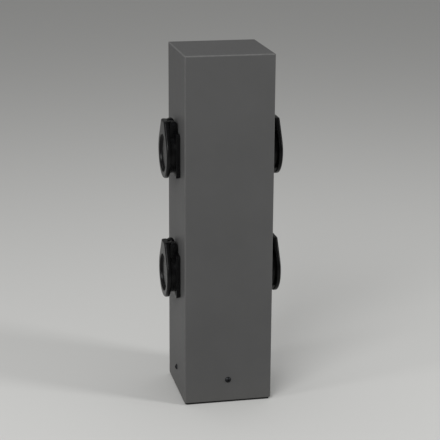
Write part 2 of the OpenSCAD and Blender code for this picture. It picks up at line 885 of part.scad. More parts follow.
module flange_nuts() {
    color(ZINC) for (s = SOCKETS) at_socket(s) at_flange_screws() difference() {
        translate([-wall_t - flange_nut_h, 0, 0]) rotate([0, 90, 0])
            cylinder(r = flange_nut_r, h = flange_nut_h, $fn = 6);
        rod_x(-wall_t - flange_nut_h - overcut, overcut, flange_screw_d / 2 + thread_play);
    }
}

// Slotted screws that clamp the conductors in the terminal blocks
module terminal_screws() {
    screw_top = terminal_w / 2 + terminal_screw_rise;
    screw_low = conductor_r + thread_play;
    slot_half_w = terminal_screw_d * 0.1;
    slot_depth = terminal_screw_d * 0.28;
    color(ZINC) for (s = SOCKETS, y = [-contact_y, 0, contact_y]) at_socket(s)
        translate([terminal_screw_x, y, 0]) difference() {
            translate([0, 0, screw_low]) cylinder(d = terminal_screw_d, h = screw_top - screw_low);
            block(
                [-slot_half_w, -terminal_screw_d, screw_top - slot_depth],
                [slot_half_w, terminal_screw_d, screw_top + overcut]
            );
        }
}

// Flange, collar, plug well, rear body and the fixed half of the hinge, moulded in one piece
module socket_housing() {
    web_top = hinge_z - barrel_r - hinge_play;
    color(BLACK_PLASTIC) {
        difference() {
            union() {
                plate_x(flange_gasket_t, flange_front, flange_w, flange_r);
                rod_x(flange_front - overcut, collar_front, collar_r);
                rod_x(carrier_back, flange_gasket_t + overcut, body_r);
                for (side = [0, 1]) mirror([0, side, 0]) {
                    block(
                        [ear_back, ear_inner, well_r - ear_root],
                        [hinge_x + barrel_r, hinge_half_w, hinge_z]
                    );
                    hinge_rod(ear_inner, hinge_half_w, barrel_r);
                    translate([ear_back + barrel_r - hinge_x, 0, 0])
                        hinge_rod(ear_inner, hinge_half_w, barrel_r);
                    block(
                        [ear_back + barrel_r, ear_inner, hinge_z],
                        [hinge_x, hinge_half_w, hinge_z + barrel_r]
                    );
                }
                block([ear_back, -ear_inner, collar_r], [flange_front, ear_inner, web_top]);
                block([ear_back, -ledge_half_w, collar_r], [ledge_front, ledge_half_w, ledge_top]);
            }
            rod_x(floor_front, collar_front + overcut, well_r);
            rod_x(carrier_back - overcut, floor_back, cavity_r);
            for (y = [-contact_y, contact_y]) translate([0, y, 0])
                rod_x(floor_back - overcut, floor_front + overcut, contact_hole_d / 2);
            for (side = [0, 1]) mirror([0, 0, side])
                block(
                    [floor_back - overcut, -clip_w / 2 - face_play, clip_root_z - clip_t - 2 * clip_slot_play],
                    [floor_front + overcut, clip_w / 2 + face_play, clip_root_z + clip_slot_play]
                );
            at_flange_screws() {
                rod_x(0, flange_front + overcut, flange_hole_r);
                cone_x(
                    flange_front - flange_head_h,
                    flange_front + bite,
                    flange_hole_r,
                    flange_head_r + screw_play
                );
            }
            for (side = [0, 1]) mirror([0, side, 0])
                block(
                    [latch_x, cavity_r - overcut, -latch_w / 2 - latch_play],
                    [latch_x + latch_l + latch_play, body_r + overcut, latch_w / 2 + latch_play]
                );
            hinge_rod(-hinge_half_w - overcut, hinge_half_w + overcut, pin_r + thread_play / 2);
        }
        for (side = [0, 1]) mirror([0, side, 0])
            block(
                [floor_front, well_r - guide_in, -guide_w / 2],
                [collar_front - guide_short, well_r + overcut, guide_w / 2]
            );
    }
}

module flange_gasket() {
    color(RUBBER) difference() {
        plate_x(0, flange_gasket_t, flange_w - 2 * gasket_inset, flange_r);
        rod_x(-overcut, flange_gasket_t + overcut, body_r + gasket_play);
        at_flange_screws() rod_x(-overcut, flange_gasket_t + overcut, flange_hole_r);
    }
}

// Insulating block in the back of the housing, held by two latches, with pockets for the contacts
module contact_carrier() {
    pocket_w = terminal_w + 2 * fit_play;
    color(PALE_PLASTIC) difference() {
        union() {
            rod_x(carrier_back, floor_back, carrier_r);
            for (side = [0, 1]) mirror([0, side, 0])
                block(
                    [latch_x + latch_play, carrier_r - latch_root, -latch_w / 2],
                    [latch_x + latch_l, body_r - latch_inset, latch_w / 2]
                );
        }
        for (y = [-contact_y, contact_y]) translate([0, y, 0])
            rod_x(carrier_back - overcut, floor_back + overcut, contact_tube_r + fit_play);
        for (y = [-contact_y, 0, contact_y]) translate([0, y, 0])
            block(
                [carrier_back - overcut, -pocket_w / 2, -pocket_w / 2],
                [terminal_front + fit_play, pocket_w / 2, pocket_w / 2]
            );
        block(
            [floor_back - clip_t - fit_play, -clip_w / 2 - fit_play, -carrier_r - overcut],
            [floor_back + overcut, clip_w / 2 + fit_play, carrier_r + overcut]
        );
        block(
            [terminal_front - overcut, -clip_w / 2 - fit_play, -clip_t / 2 - fit_play],
            [floor_back + overcut, clip_w / 2 + fit_play, clip_t / 2 + fit_play]
        );
    }
}

// A terminal block with its wire hole at the back and its screw hole on top
module terminal_block() {
    difference() {
        block(
            [terminal_back, -terminal_w / 2, -terminal_w / 2],
            [terminal_front, terminal_w / 2, terminal_w / 2]
        );
        rod_x(terminal_back - overcut, terminal_back + conductor_in + overcut, terminal_hole_r);
        translate([terminal_screw_x, 0, 0]) cylinder(r = terminal_screw_d / 2 + thread_play, h = terminal_w);
    }
}

// Two slit tubes that grip the plug's pins, each with its terminal block
module line_contacts() {
    color(BRASS) for (y = [-contact_y, contact_y]) translate([0, y, 0]) {
        terminal_block();
        difference() {
            rod_x(terminal_front - bite, floor_back - carrier_play, contact_tube_r);
            rod_x(terminal_front + contact_end_wall, floor_back + overcut, contact_bore_r);
            block(
                [terminal_front + contact_slit_start, -contact_slit_w / 2, -contact_tube_r - overcut],
                [floor_back, contact_slit_w / 2, contact_tube_r + overcut]
            );
        }
    }
}

// One of the two spring fingers of the earth clip, seen from the side
module clip_finger_outline() {
    nose_z = clip_root_z - clip_nose_in;
    nose_low = floor_front + well_depth * 0.5;
    nose_high = floor_front + well_depth * 0.74;
    bend_x = floor_front + clip_straight_l;
    tip_z = clip_root_z + clip_tip_out;
    tip_x = collar_front - clip_tip_short;
    polygon([
        [floor_back - clip_t, clip_root_z],
        [bend_x, clip_root_z],
        [nose_low, nose_z],
        [nose_high, nose_z],
        [tip_x, tip_z],
        [tip_x, tip_z - clip_t],
        [nose_high + clip_bend_step, nose_z - clip_t],
        [nose_low - clip_bend_step, nose_z - clip_t],
        [bend_x, clip_root_z - clip_t],
        [floor_back - clip_t, clip_root_z - clip_t]
    ]);
}

// Strip with a spring finger at the top and bottom of the well, a tail and a terminal block
module earth_clip() {
    color(NICKEL) {
        for (side = [0, 1]) mirror([0, 0, side]) rotate([90, 0, 0])
            linear_extrude(clip_w, center = true) clip_finger_outline();
        block([floor_back - clip_t, -clip_w / 2, -clip_root_z], [floor_back, clip_w / 2, clip_root_z]);
        block([terminal_front - bite, -clip_w / 2, -clip_t / 2], [floor_back - bite, clip_w / 2, clip_t / 2]);
        terminal_block();
    }
}

module hinge_pin() {
    color(BLACK_STEEL) hinge_rod(-hinge_half_w + pin_inset, hinge_half_w - pin_inset, pin_r);
}

// Centre line of the spring: a leg from the lid, the turns round the pin, a leg to the ledge
function spring_turn_point(step) =
    let (angle = 90 + 360 * step / spring_steps)
    [
        hinge_x + spring_r * cos(angle),
        (step / spring_steps - spring_turns / 2) * spring_pitch,
        hinge_z + spring_r * sin(angle)
    ];
spring_line = concat(
    [[hinge_x + spring_leg, -spring_turns / 2 * spring_pitch, hinge_z + spring_r]],
    [for (step = [0 : spring_turns * spring_steps]) spring_turn_point(step)],
    [[hinge_x - spring_leg, spring_turns / 2 * spring_pitch, hinge_z + spring_r]]
);

// Least gap between points of the spring that lie at least half a turn apart along the wire
spring_gap = min([
    for (i = [0 : len(spring_line) - 1])
        for (j = [i + spring_steps / 2 : 1 : len(spring_line) - 1])
            norm(spring_line[i] - spring_line[j]) - spring_wire_d
]);
echo(spring_self_gap_mm = spring_gap);

function unit(v) = v / norm(v);

// Direction of a line of points at point i
function heading(line, i) = unit(line[min(i + 1, len(line) - 1)] - line[max(i - 1, 0)]);

// A tube of few sides along a line of points; across is a direction that the line never follows
module tube_along(line, r, sides, across) {
    rings = len(line);
    points = [
        for (i = [0 : rings - 1])
            let (d = heading(line, i), u = unit(cross(d, across)), v = cross(d, u))
            for (k = [0 : sides - 1]) line[i] + r * (cos(360 * k / sides) * u + sin(360 * k / sides) * v)
    ];
    walls = [
        for (i = [0 : rings - 2], k = [0 : sides - 1])
            let (a = i * sides + k, b = i * sides + (k + 1) % sides)
            each [[a, a + sides, b + sides], [a, b + sides, b]]
    ];
    ends = [
        [for (k = [0 : sides - 1]) k],
        [for (k = [sides - 1 : -1 : 0]) (rings - 1) * sides + k]
    ];
    polyhedron(points, concat(walls, ends));
}

module lid_spring() {
    color(NICKEL) tube_along(spring_line, spring_wire_d / 2, spring_sides, [0, 1, 0]);
}

// Outer tangent of the lid's disc and the tab's round corner, as the direction of its contact points
tab_corner = [lid_tab_w / 2 - tab_corner_r, tab_top_z - tab_corner_r];
tangent_angle = atan2(tab_corner[1], tab_corner[0]) - acos((lid_r - tab_corner_r) / norm(tab_corner));
tangent_way = [cos(tangent_angle), sin(tangent_angle)];

// Front view of the tab, blending into the disc along its tangents
module tab_outline() {
    disc_point = lid_r * tangent_way;
    tab_point = tab_corner + tab_corner_r * tangent_way;
    polygon([
        disc_point,
        tab_point,
        [-tab_point[0], tab_point[1]],
        [-disc_point[0], disc_point[1]]
    ]);
    for (side = [-1, 1]) translate([side * tab_corner[0], tab_corner[1]]) circle(tab_corner_r);
    translate([-tab_corner[0], tab_corner[1] - overcut])
        square([2 * tab_corner[0], tab_corner_r + overcut]);
}

// Side view of the tab, with its top front edge rounded
module tab_section() {
    difference() {
        union() {
            translate([lid_back, 0]) square([lid_t, tab_top_z]);
            translate([tab_back, collar_r + tab_step_rise])
                square([lid_t, tab_top_z - collar_r - tab_step_rise]);
        }
        corner_cut(lid_front, tab_top_z, tab_edge_r, 1, 1);
    }
}

// Half section of the lid's disc, X from the centre and Y along the lid's thickness
module lid_section() {
    difference() {
        translate([0, lid_back]) square([lid_r, lid_t]);
        corner_cut(lid_r, lid_front, lid_edge_r, 1, 1);
        corner_cut(lid_r, lid_back, lid_edge_r / 2, 1, -1);
    }
}

// The dish in the middle of the lid, down to its domed floor
module lid_dish_section() {
    dome_r = (dish_r * dish_r + lid_dome_h * lid_dome_h) / (2 * lid_dome_h);
    difference() {
        polygon([
            [0, dish_floor],
            [dish_r, dish_floor],
            [dish_r + dish_wall_slope, lid_front + overcut],
            [0, lid_front + overcut]
        ]);
        translate([0, dish_floor + lid_dome_h - dome_r]) circle(dome_r, $fn = 720);
    }
}

// Turns a half section, drawn with Y along the thickness, about the socket's axis
module turned_x() {
    rotate([0, 90, 0]) rotate_extrude() children();
}

// Sprung lid: raised ring, dished middle, tab and the two knuckles of the hinge
module lid() {
    color(BLACK_PLASTIC) difference() {
        union() {
            turned_x() lid_section();
            intersection() {
                rotate([90, 0, 90]) linear_extrude(lid_front) tab_outline();
                rotate([90, 0, 0]) linear_extrude(2 * lid_r, center = true) tab_section();
            }
            for (side = [0, 1]) mirror([0, side, 0]) {
                hinge_rod(arm_inner, arm_outer, barrel_r);
                block(
                    [hinge_x, arm_inner, hinge_z - barrel_r],
                    [tab_back + overcut, arm_outer, tab_top_z]
                );
            }
        }
        turned_x() lid_dish_section();
        turned_x() translate([seal_inner_r, lid_back - overcut])
            square([seal_outer_r - seal_inner_r, seal_depth + overcut]);
        turned_x() translate([back_pad_r, lid_back - overcut])
            square([seal_inner_r - back_rim_w - back_pad_r, back_recess + overcut]);
        hinge_rod(-hinge_half_w, hinge_half_w, pin_r + rotor_play);
    }
}

module lid_seal() {
    color(RUBBER) turned_x() translate([seal_inner_r, collar_front + seal_front_play])
        square([seal_outer_r - seal_inner_r, lid_back + seal_depth - collar_front - seal_front_play]);
}

column_sleeve();
top_cap();
base_plate();
foot_gasket();
sleeve_screws();
rivet_nuts();
cable_grommet();
terminal_bracket();
bracket_screws();
connector_holder();
splice_connectors();
splice_bars();
strain_relief_base();
strain_relief_strap();
strain_relief_screws();
earth_studs();
ring_lugs();
live_wires();
neutral_wires();
earth_wires();
flange_screws();
flange_nuts();
terminal_screws();
for (s = SOCKETS) {
    at_socket(s) socket_housing();
    at_socket(s) flange_gasket();
    at_socket(s) contact_carrier();
    at_socket(s) line_contacts();
    at_socket(s) earth_clip();
    at_socket(s) hinge_pin();
    at_socket(s) lid_spring();
    at_socket(s) lid();
    at_socket(s) lid_seal();
}
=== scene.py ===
# %% [markdown]
# # Dressing a garden socket post
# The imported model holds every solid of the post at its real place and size: a powder-coated steel
# column, a cap, a rubber foot, four sockets with hinged lids, and all that is inside. This notebook
# gives those solids their finishes, models the lids and springs again with the roundings that
# moulded and wound parts have, and sets up a floor, studio light and a camera.
# Everything is in metres in the model's own frame, so a piece goes where the solid is.

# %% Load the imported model
import json
import math

import bmesh
import bpy
from mathutils import Matrix, Vector


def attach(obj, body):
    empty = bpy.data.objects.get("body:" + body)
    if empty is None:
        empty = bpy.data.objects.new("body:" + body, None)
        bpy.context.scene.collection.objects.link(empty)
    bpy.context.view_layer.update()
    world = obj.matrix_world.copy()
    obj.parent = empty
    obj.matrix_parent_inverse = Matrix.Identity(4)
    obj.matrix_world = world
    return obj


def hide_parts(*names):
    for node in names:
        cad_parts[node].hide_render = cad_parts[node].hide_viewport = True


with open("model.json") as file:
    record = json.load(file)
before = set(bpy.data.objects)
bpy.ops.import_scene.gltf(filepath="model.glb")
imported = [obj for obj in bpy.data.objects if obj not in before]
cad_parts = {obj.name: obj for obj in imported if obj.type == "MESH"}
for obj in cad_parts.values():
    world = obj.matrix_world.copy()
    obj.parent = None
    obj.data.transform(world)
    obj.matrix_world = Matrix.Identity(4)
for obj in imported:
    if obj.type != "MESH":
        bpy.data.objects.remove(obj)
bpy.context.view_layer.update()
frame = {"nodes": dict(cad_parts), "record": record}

nodes = frame["nodes"]
scene = bpy.context.scene
MM = 0.001

# %% [markdown]
# ## Camera
# The photograph looks down a little from the front left with a long lens. Four corners of the
# column and the four lids fix where that camera stood: place, turn, downward tilt and a slight roll.
# A camera matrix built from those angles needs no tracking constraint, so it can't drift.

# %% Camera
CAMERA_AT = Vector((-333.50, -1557.09, 661.65)) * MM
YAW, PITCH, ROLL = (math.radians(a) for a in (12.0954, 16.0859, 0.3658))
SENSOR_MM, LENS_MM = 36, 119.248

forward = Vector((math.sin(YAW) * math.cos(PITCH), math.cos(YAW) * math.cos(PITCH), -math.sin(PITCH)))
right = Vector((math.cos(YAW), -math.sin(YAW), 0))
above = right.cross(forward)
side_axis = right * math.cos(ROLL) + above * math.sin(ROLL)
up_axis = above * math.cos(ROLL) - right * math.sin(ROLL)

camera = bpy.data.objects.new("camera", bpy.data.cameras.new("camera"))
camera.data.sensor_width = SENSOR_MM
camera.data.lens = LENS_MM
turn = Matrix((side_axis, up_axis, -forward)).transposed().to_4x4()
camera.matrix_world = Matrix.Translation(CAMERA_AT) @ turn
scene.collection.objects.link(camera)
bpy.context.scene.camera = camera
print("camera", round(CAMERA_AT.length, 3), "m from the middle of the post's foot")

# %% [markdown]
# ## Helpers for the finishes
# Colours are written as sRGB hex values, as a paint card gives them, and Blender's shaders want
# linear numbers, so one function turns the one into the other. A pattern's scale is written as the
# size of one of its grains in millimetres. One helper adds a shader node with its settings and
# links, and another one lays a second colour over a finish.

# %% Colour, scale and node helpers
def linear(hex_colour):
    """An sRGB hex colour such as #505152 as the linear RGBA that a shader socket takes."""
    values = [int(hex_colour[i:i + 2], 16) / 255 for i in (1, 3, 5)]
    return tuple(v / 12.92 if v <= 0.04045 else ((v + 0.055) / 1.055) ** 2.4 for v in values) + (1.0,)


def per_metre(grain_mm):
    """The scale of a texture whose grains are this many millimetres across."""
    return 1000 / grain_mm


def add(material, kind, inputs=None, **settings):
    """Adds a shader node with its settings. Each input is a value, or a socket to link it from."""
    tree = material.node_tree
    node = tree.nodes.new("ShaderNode" + kind)
    for name, value in settings.items():
        setattr(node, name, value)
    for name, value in (inputs or {}).items():
        if isinstance(value, bpy.types.NodeSocket):
            tree.links.new(value, node.inputs[name])
        else:
            node.inputs[name].default_value = value
    return node


# The inputs of a Mix node that blends two colours have to be told apart by number
FACTOR, FIRST, SECOND = 0, 6, 7
COLOUR_OUT = 2


def overlay(parts, mask, hex_colour):
    """Lays another colour over a finish, as far as the mask says."""
    mixed = add(parts["material"], "Mix",
                {FACTOR: mask, FIRST: parts["tint"].outputs[COLOUR_OUT], SECOND: linear(hex_colour)},
                data_type="RGBA")
    parts["material"].node_tree.links.new(mixed.outputs[COLOUR_OUT], parts["surface"].inputs["Base Color"])
    parts["tint"] = mixed


print("#808080 is", round(linear("#808080")[0], 3), "in linear light")

# %% [markdown]
# ## The frame of a finish
# Every finish here has the same three layers: a colour that drifts a little over large patches, a
# roughness that drifts over smaller ones, and a fine relief. Real paint, moulded plastic and plated
# metal all have them in different sizes. One function lays them down with the sizes that it is
# given, and each finish below then adds what only it has.

# %% A finish of three layers
# A noise seldom leaves these bounds, so they are the two ends of a drift
PATCH_LOW, PATCH_HIGH = 0.32, 0.68
GRAIN_LOW, GRAIN_HIGH = 0.3, 0.7
SHEEN_DRIFT = 0.05
FINISHES = {}


def finish(name, colour, second, patch_mm, roughness, grain_mm, relief_mm, **shader):
    """A material that drifts from colour to second over patches, with a fine relief of this grain."""
    made = bpy.data.materials.new(name)
    made.use_nodes = True
    links, surface = made.node_tree.links, made.node_tree.nodes["Principled BSDF"]
    place = add(made, "TexCoord").outputs["Object"]
    patches = add(made, "TexNoise", {"Vector": place, "Scale": per_metre(patch_mm),
                                     "Detail": 4.0, "Roughness": 0.55})
    spread = add(made, "MapRange", {"Value": patches.outputs["Fac"],
                                    "From Min": PATCH_LOW, "From Max": PATCH_HIGH})
    tint = add(made, "Mix",
               {FACTOR: spread.outputs["Result"], FIRST: linear(colour), SECOND: linear(second)},
               data_type="RGBA")
    links.new(tint.outputs[COLOUR_OUT], surface.inputs["Base Color"])
    grain = add(made, "TexNoise", {"Vector": place, "Scale": per_metre(grain_mm),
                                   "Detail": 3.0, "Roughness": 0.6})
    sheen = add(made, "MapRange", {"Value": grain.outputs["Fac"],
                                   "From Min": GRAIN_LOW, "From Max": GRAIN_HIGH,
                                   "To Min": roughness - SHEEN_DRIFT, "To Max": roughness + SHEEN_DRIFT})
    links.new(sheen.outputs["Result"], surface.inputs["Roughness"])
    relief = add(made, "Bump", {"Height": grain.outputs["Fac"], "Distance": relief_mm * MM,
                                "Strength": 1.0})
    links.new(relief.outputs["Normal"], surface.inputs["Normal"])
    for socket, value in shader.items():
        surface.inputs[socket.replace("_", " ")].default_value = value
    FINISHES[name] = made
    return {"material": made, "surface": surface, "place": place, "patches": patches, "tint": tint,
            "relief": relief}


print("a finish has two colours, a patch size, a roughness, a grain size and a relief")

# %% [markdown]
# ## Powder coat
# The column and cap are zinc-plated sheet steel with a baked polyester powder coat, dark grey and
# satin. The powder melts into a film with a gentle orange peel, so a reflection of the studio is
# wide and soft; the thin pale line on the edges is a painted highlight, added below. The orange peel
# of a real coat is 1 to 2 mm wide and a few hundredths deep. On top lies a much finer sandy texture
# of about 0.3 mm, which is drawn at 0.9 mm here, because anything smaller than a pixel would vanish.

# %% Powder coat
coat = finish("coat", "#4d4d4d", "#515151", patch_mm=70, roughness=0.5, grain_mm=0.9, relief_mm=0.012,
              Specular_IOR_Level=0.2)
painted = coat["material"]
peel = add(painted, "TexNoise", {"Vector": coat["place"], "Scale": per_metre(1.8), "Detail": 1.0})
swell = add(painted, "Bump", {"Height": peel.outputs["Fac"], "Distance": 0.03 * MM, "Strength": 0.8,
                              "Normal": coat["relief"].outputs["Normal"]})
painted.node_tree.links.new(swell.outputs["Normal"], coat["surface"].inputs["Normal"])
print("powder coat with", len(painted.node_tree.nodes), "nodes")

# %% [markdown]
# ## Splashes, and a painted highlight on the edges
# Splashes from the ground leave a faint pale film on the lowest few centimetres of any garden post.
# The column's corners and the cap's rim carry a thin paler line about a millimetre wide: a painted
# highlight for the light that those edges catch, laid on like thinned and polished coat. Both are
# masks from the place on the post, broken up by a 4 mm noise, and each mask lays its colour over the coat.

# %% Splashes and painted edge highlight
# The film of splashes fades out between these heights
SPLASH_FULL, SPLASH_TOP = 2 * MM, 30 * MM
SPLASH_SHARE, CORNER_SHARE = 0.22, 0.5
# The painted highlight line begins and is full at these distances: from the post's axis for its
# sides, and from the ground for the cap's rim. The column's face is at 50 mm and the cap's top at 400 mm
SIDE_LINE = {"From Min": 48.6 * MM, "From Max": 49.6 * MM}
RIM_LINE = {"From Min": 398.2 * MM, "From Max": 399.2 * MM}

on_post = add(painted, "SeparateXYZ", {"Vector": coat["place"]})
low = add(painted, "MapRange", {"Value": on_post.outputs["Z"],
                                "From Min": SPLASH_TOP, "From Max": SPLASH_FULL})
drops = add(painted, "TexNoise", {"Vector": coat["place"], "Scale": per_metre(4),
                                  "Detail": 6.0, "Roughness": 0.7})
film = add(painted, "Math", {0: low.outputs["Result"], 1: drops.outputs["Fac"]}, operation="MULTIPLY")
thin = add(painted, "Math", {0: film.outputs[0], 1: SPLASH_SHARE}, operation="MULTIPLY")
overlay(coat, thin.outputs[0], "#6d6a64")

# Painted highlight: a paler line along the column's corners and the cap's rim, where those edges catch the
# light
away_x = add(painted, "Math", {0: on_post.outputs["X"]}, operation="ABSOLUTE").outputs[0]
away_y = add(painted, "Math", {0: on_post.outputs["Y"]}, operation="ABSOLUTE").outputs[0]
corner = add(painted, "Math", {0: away_x, 1: away_y}, operation="MINIMUM")
side = add(painted, "Math", {0: away_x, 1: away_y}, operation="MAXIMUM")
corner_line = add(painted, "MapRange", {"Value": corner.outputs[0], "To Max": CORNER_SHARE, **SIDE_LINE})
side_line = add(painted, "MapRange", {"Value": side.outputs[0], **SIDE_LINE})
high = add(painted, "MapRange", {"Value": on_post.outputs["Z"], **RIM_LINE})
rim_line = add(painted, "Math", {0: side_line.outputs["Result"], 1: high.outputs["Result"]},
               operation="MULTIPLY")
edge_line = add(painted, "Math", {0: corner_line.outputs["Result"], 1: rim_line.outputs[0]},
                operation="MAXIMUM")
# The noise breaks up the painted edge highlight, which is then laid over the coat
highlight_breakup = add(painted, "MapRange", {"Value": drops.outputs["Fac"], "From Min": 0.3, "From Max": 0.6,
                                 "To Min": 0.2, "To Max": 0.6})
painted_edge_highlight = add(painted, "Math", {0: edge_line.outputs[0], 1: highlight_breakup.outputs["Result"]}, operation="MULTIPLY")
overlay(coat, painted_edge_highlight.outputs[0], "#747473")
print("powder coat with", len(painted.node_tree.nodes), "nodes")

# %% [markdown]
# ## Moulded plastics
# The sockets are an injection-moulded polycarbonate blend, black all through. The mould is
# spark-eroded, which leaves a fine even matt grain of about 0.1 mm (drawn at 0.6 mm), and the skin
# is still glossy enough to show soft highlights. Inner plastics are duller: glass-filled polyamide
# is natural off-white with short fibres that show as faint flecks of 0.8 mm, and the splice
# connectors have a clear polycarbonate shell, with that plastic's index of refraction.

# %% Plastics
finish("black_plastic", "#070708", "#0b0b0c", patch_mm=12, roughness=0.28, grain_mm=0.6, relief_mm=0.006,
       Specular_IOR_Level=0.15)
finish("inner_plastic", "#1b1b1b", "#212120", patch_mm=6, roughness=0.55, grain_mm=0.5, relief_mm=0.01)
finish("grey_plastic", "#7c7f82", "#84878a", patch_mm=8, roughness=0.5, grain_mm=0.5, relief_mm=0.01)
pale = finish("pale_plastic", "#c9c1ae", "#d3ccba", patch_mm=7, roughness=0.5, grain_mm=0.5, relief_mm=0.01)
fibres = add(pale["material"], "TexVoronoi", {"Vector": pale["place"], "Scale": per_metre(0.8)},
             feature="F1")
fleck = add(pale["material"], "MapRange", {"Value": fibres.outputs["Distance"], "From Min": 0.0,
                                           "From Max": 0.16, "To Min": 0.35, "To Max": 0.0})
overlay(pale, fleck.outputs["Result"], "#a89f8b")
finish("clear_plastic", "#dfe6e8", "#e6ecee", patch_mm=9, roughness=0.12, grain_mm=1.0, relief_mm=0.004,
       Transmission_Weight=0.85, IOR=1.585)
print("plastics:", [n for n in FINISHES if "plastic" in n])

# %% [markdown]
# ## Rubber
# Gaskets, grommet, lid seals and foot are black EPDM rubber from a mould. Soot-filled rubber is
# never quite black: it is matt, it scatters light at low angles, and a whitish bloom of wax and
# talc settles in patches of a few millimetres.

# %% Rubber
rubber = finish("rubber", "#101010", "#151514", patch_mm=9, roughness=0.74, grain_mm=0.7, relief_mm=0.02,
                Specular_IOR_Level=0.25)
bloom = add(rubber["material"], "MapRange", {"Value": rubber["patches"].outputs["Fac"],
                                             "From Min": 0.55, "From Max": 0.8, "To Max": 0.25})
overlay(rubber, bloom.outputs["Result"], "#302f2e")
print("rubber with", len(rubber["material"].node_tree.nodes), "nodes")

# %% [markdown]
# ## Metals
# A metal's colour is the colour of its reflection, so the base colour is bright and the finish lies
# in the roughness. Drawn wire and rolled strip keep fine lines in the direction in which they were
# worked, bright zinc plate is cloudy with a slight blue cast, and black oxide is a thin
# dark layer that stays a little shiny. Metals keep the default index of refraction.

# %% Metals
# Each row: the two colours, patch size in mm, roughness, grain size in mm and relief in mm
METALS = {
    "black_steel": ("#2a2b2d", "#323335", 5, 0.40, 0.5, 0.006),
    "zinc_steel": ("#aeb3b9", "#c3c6c9", 6, 0.32, 0.6, 0.006),
    "nickel_brass": ("#c3beb0", "#d0ccc0", 6, 0.24, 0.5, 0.003),
    "brass": ("#b8954a", "#c8a75c", 6, 0.30, 0.5, 0.005),
    "copper": ("#b86b48", "#c67d59", 5, 0.32, 0.5, 0.005),
    "tinned_copper": ("#b9b7b1", "#c8c6c1", 5, 0.38, 0.5, 0.006),
    "spring_steel": ("#a3a3a1", "#b3b3b1", 3, 0.26, 0.4, 0.003),
}
for name, row in METALS.items():
    finish(name, *row, Metallic=1.0)
print("metals:", list(METALS))

# %% [markdown]
# ## Zinc plate and rolled lines
# Bright zinc is plated on rolled sheet. The rolling leaves lines about 0.2 mm apart, which are drawn
# 0.7 mm apart so that they show. A noise that is stretched thirty times along the sheet gives them,
# and its relief takes the place of the plain grain.

# %% Rolled lines under the zinc
LINE_GAP_MM, LINE_STRETCH = 0.7, 30.0

zinc = FINISHES["zinc_steel"]
stretched = add(zinc, "Mapping", {"Vector": add(zinc, "TexCoord").outputs["Object"],
                                  "Scale": (LINE_STRETCH, 1.0, LINE_STRETCH)})
lines = add(zinc, "TexNoise", {"Vector": stretched.outputs["Vector"],
                               "Scale": per_metre(LINE_GAP_MM * LINE_STRETCH), "Detail": 2.0})
rolled = add(zinc, "Bump", {"Height": lines.outputs["Fac"], "Distance": 0.01 * MM, "Strength": 0.7})
zinc.node_tree.links.new(rolled.outputs["Normal"], zinc.node_tree.nodes["Principled BSDF"].inputs["Normal"])
print("zinc plate with", len(zinc.node_tree.nodes), "nodes")

# %% [markdown]
# ## Wire insulation
# The wires have extruded PVC sleeves: smooth, slightly waxy, with a faint ripple along their length.
# The earth wire is yellow with two green stripes. On the real wire the stripes are extruded with it
# and run along it. Here they are found from the surface's own direction: where it faces along Y,
# which stays the same around every bend of these wires, the sleeve is green.

# %% Insulation
SLEEVE = {"patch_mm": 20, "roughness": 0.38, "grain_mm": 1.2, "relief_mm": 0.01}

finish("brown_insulation", "#4a2c1c", "#523222", **SLEEVE)
finish("blue_insulation", "#2456a0", "#2a5ca8", **SLEEVE)
earth = finish("green_yellow_insulation", "#d8c02a", "#dfc834", **SLEEVE)
faces = add(earth["material"], "SeparateXYZ",
            {"Vector": add(earth["material"], "TexCoord").outputs["Normal"]})
across = add(earth["material"], "Math", {0: faces.outputs["Y"]}, operation="ABSOLUTE")
stripe = add(earth["material"], "MapRange", {"Value": across.outputs[0],
                                             "From Min": 0.68, "From Max": 0.74})
overlay(earth, stripe.outputs["Result"], "#2f7a3a")
print(len(FINISHES), "finishes")

# %% [markdown]
# ## Putting the finishes on
# The record names a material slot for each solid, and the finishes have the same names, so one loop
# dresses them all.

# %% Dress the solids
def dress(piece, slot):
    """Gives a piece the finish of this slot."""
    piece.data.materials.clear()
    piece.data.materials.append(FINISHES[slot])
    return piece


for part in frame["record"]["subparts"]:
    dress(nodes[part["node"]], part["material_slot"])

# %% [markdown]
# ## Round collars and flat flanges on the moulded housings
# A solid comes in as flat triangles, so a round collar would show as a fan of facets. The mesh of
# the solid isn't touched. Modifiers on top of it join the doubled corners and shade everything but
# the sharp edges as one smooth surface, and weighted normals keep the flat faces flat up to their
# rims. A bevel modifier would be the usual next step for moulded edges, but here the narrow facets
# round the pin holes and guides hold its width down to about nothing, and it can fold a face with
# holes over itself, so the housings do without.

# %% Shading modifiers
ROUND_BELOW = 32
WELD_MM = 0.002


def smooth_by_angle(degrees):
    """A node group that shades a mesh smoothly and keeps edges sharper than this angle."""
    group = bpy.data.node_groups.new("smooth_by_angle", "GeometryNodeTree")
    for flow in ("INPUT", "OUTPUT"):
        group.interface.new_socket("Geometry", in_out=flow, socket_type="NodeSocketGeometry")
    start, end = group.nodes.new("NodeGroupInput"), group.nodes.new("NodeGroupOutput")
    angle = group.nodes.new("GeometryNodeInputMeshEdgeAngle")
    gentle = group.nodes.new("FunctionNodeCompare")
    gentle.operation = "LESS_THAN"
    gentle.inputs[1].default_value = math.radians(degrees)
    all_faces = group.nodes.new("GeometryNodeSetShadeSmooth")
    edges = group.nodes.new("GeometryNodeSetShadeSmooth")
    edges.domain = "EDGE"
    for source, target in ((start.outputs[0], all_faces.inputs[0]),
                           (all_faces.outputs[0], edges.inputs[0]),
                           (angle.outputs["Unsigned Angle"], gentle.inputs[0]),
                           (gentle.outputs[0], edges.inputs["Shade Smooth"]),
                           (edges.outputs[0], end.inputs[0])):
        group.links.new(source, target)
    return group


def shade_round(piece, group):
    """Shades a solid's round faces smoothly and its flat ones flat, with modifiers only."""
    weld = piece.modifiers.new("weld", "WELD")
    weld.merge_threshold = WELD_MM * MM
    shade = piece.modifiers.new("shade", "NODES")
    shade.node_group = group
    even = piece.modifiers.new("even", "WEIGHTED_NORMAL")
    even.keep_sharp = True


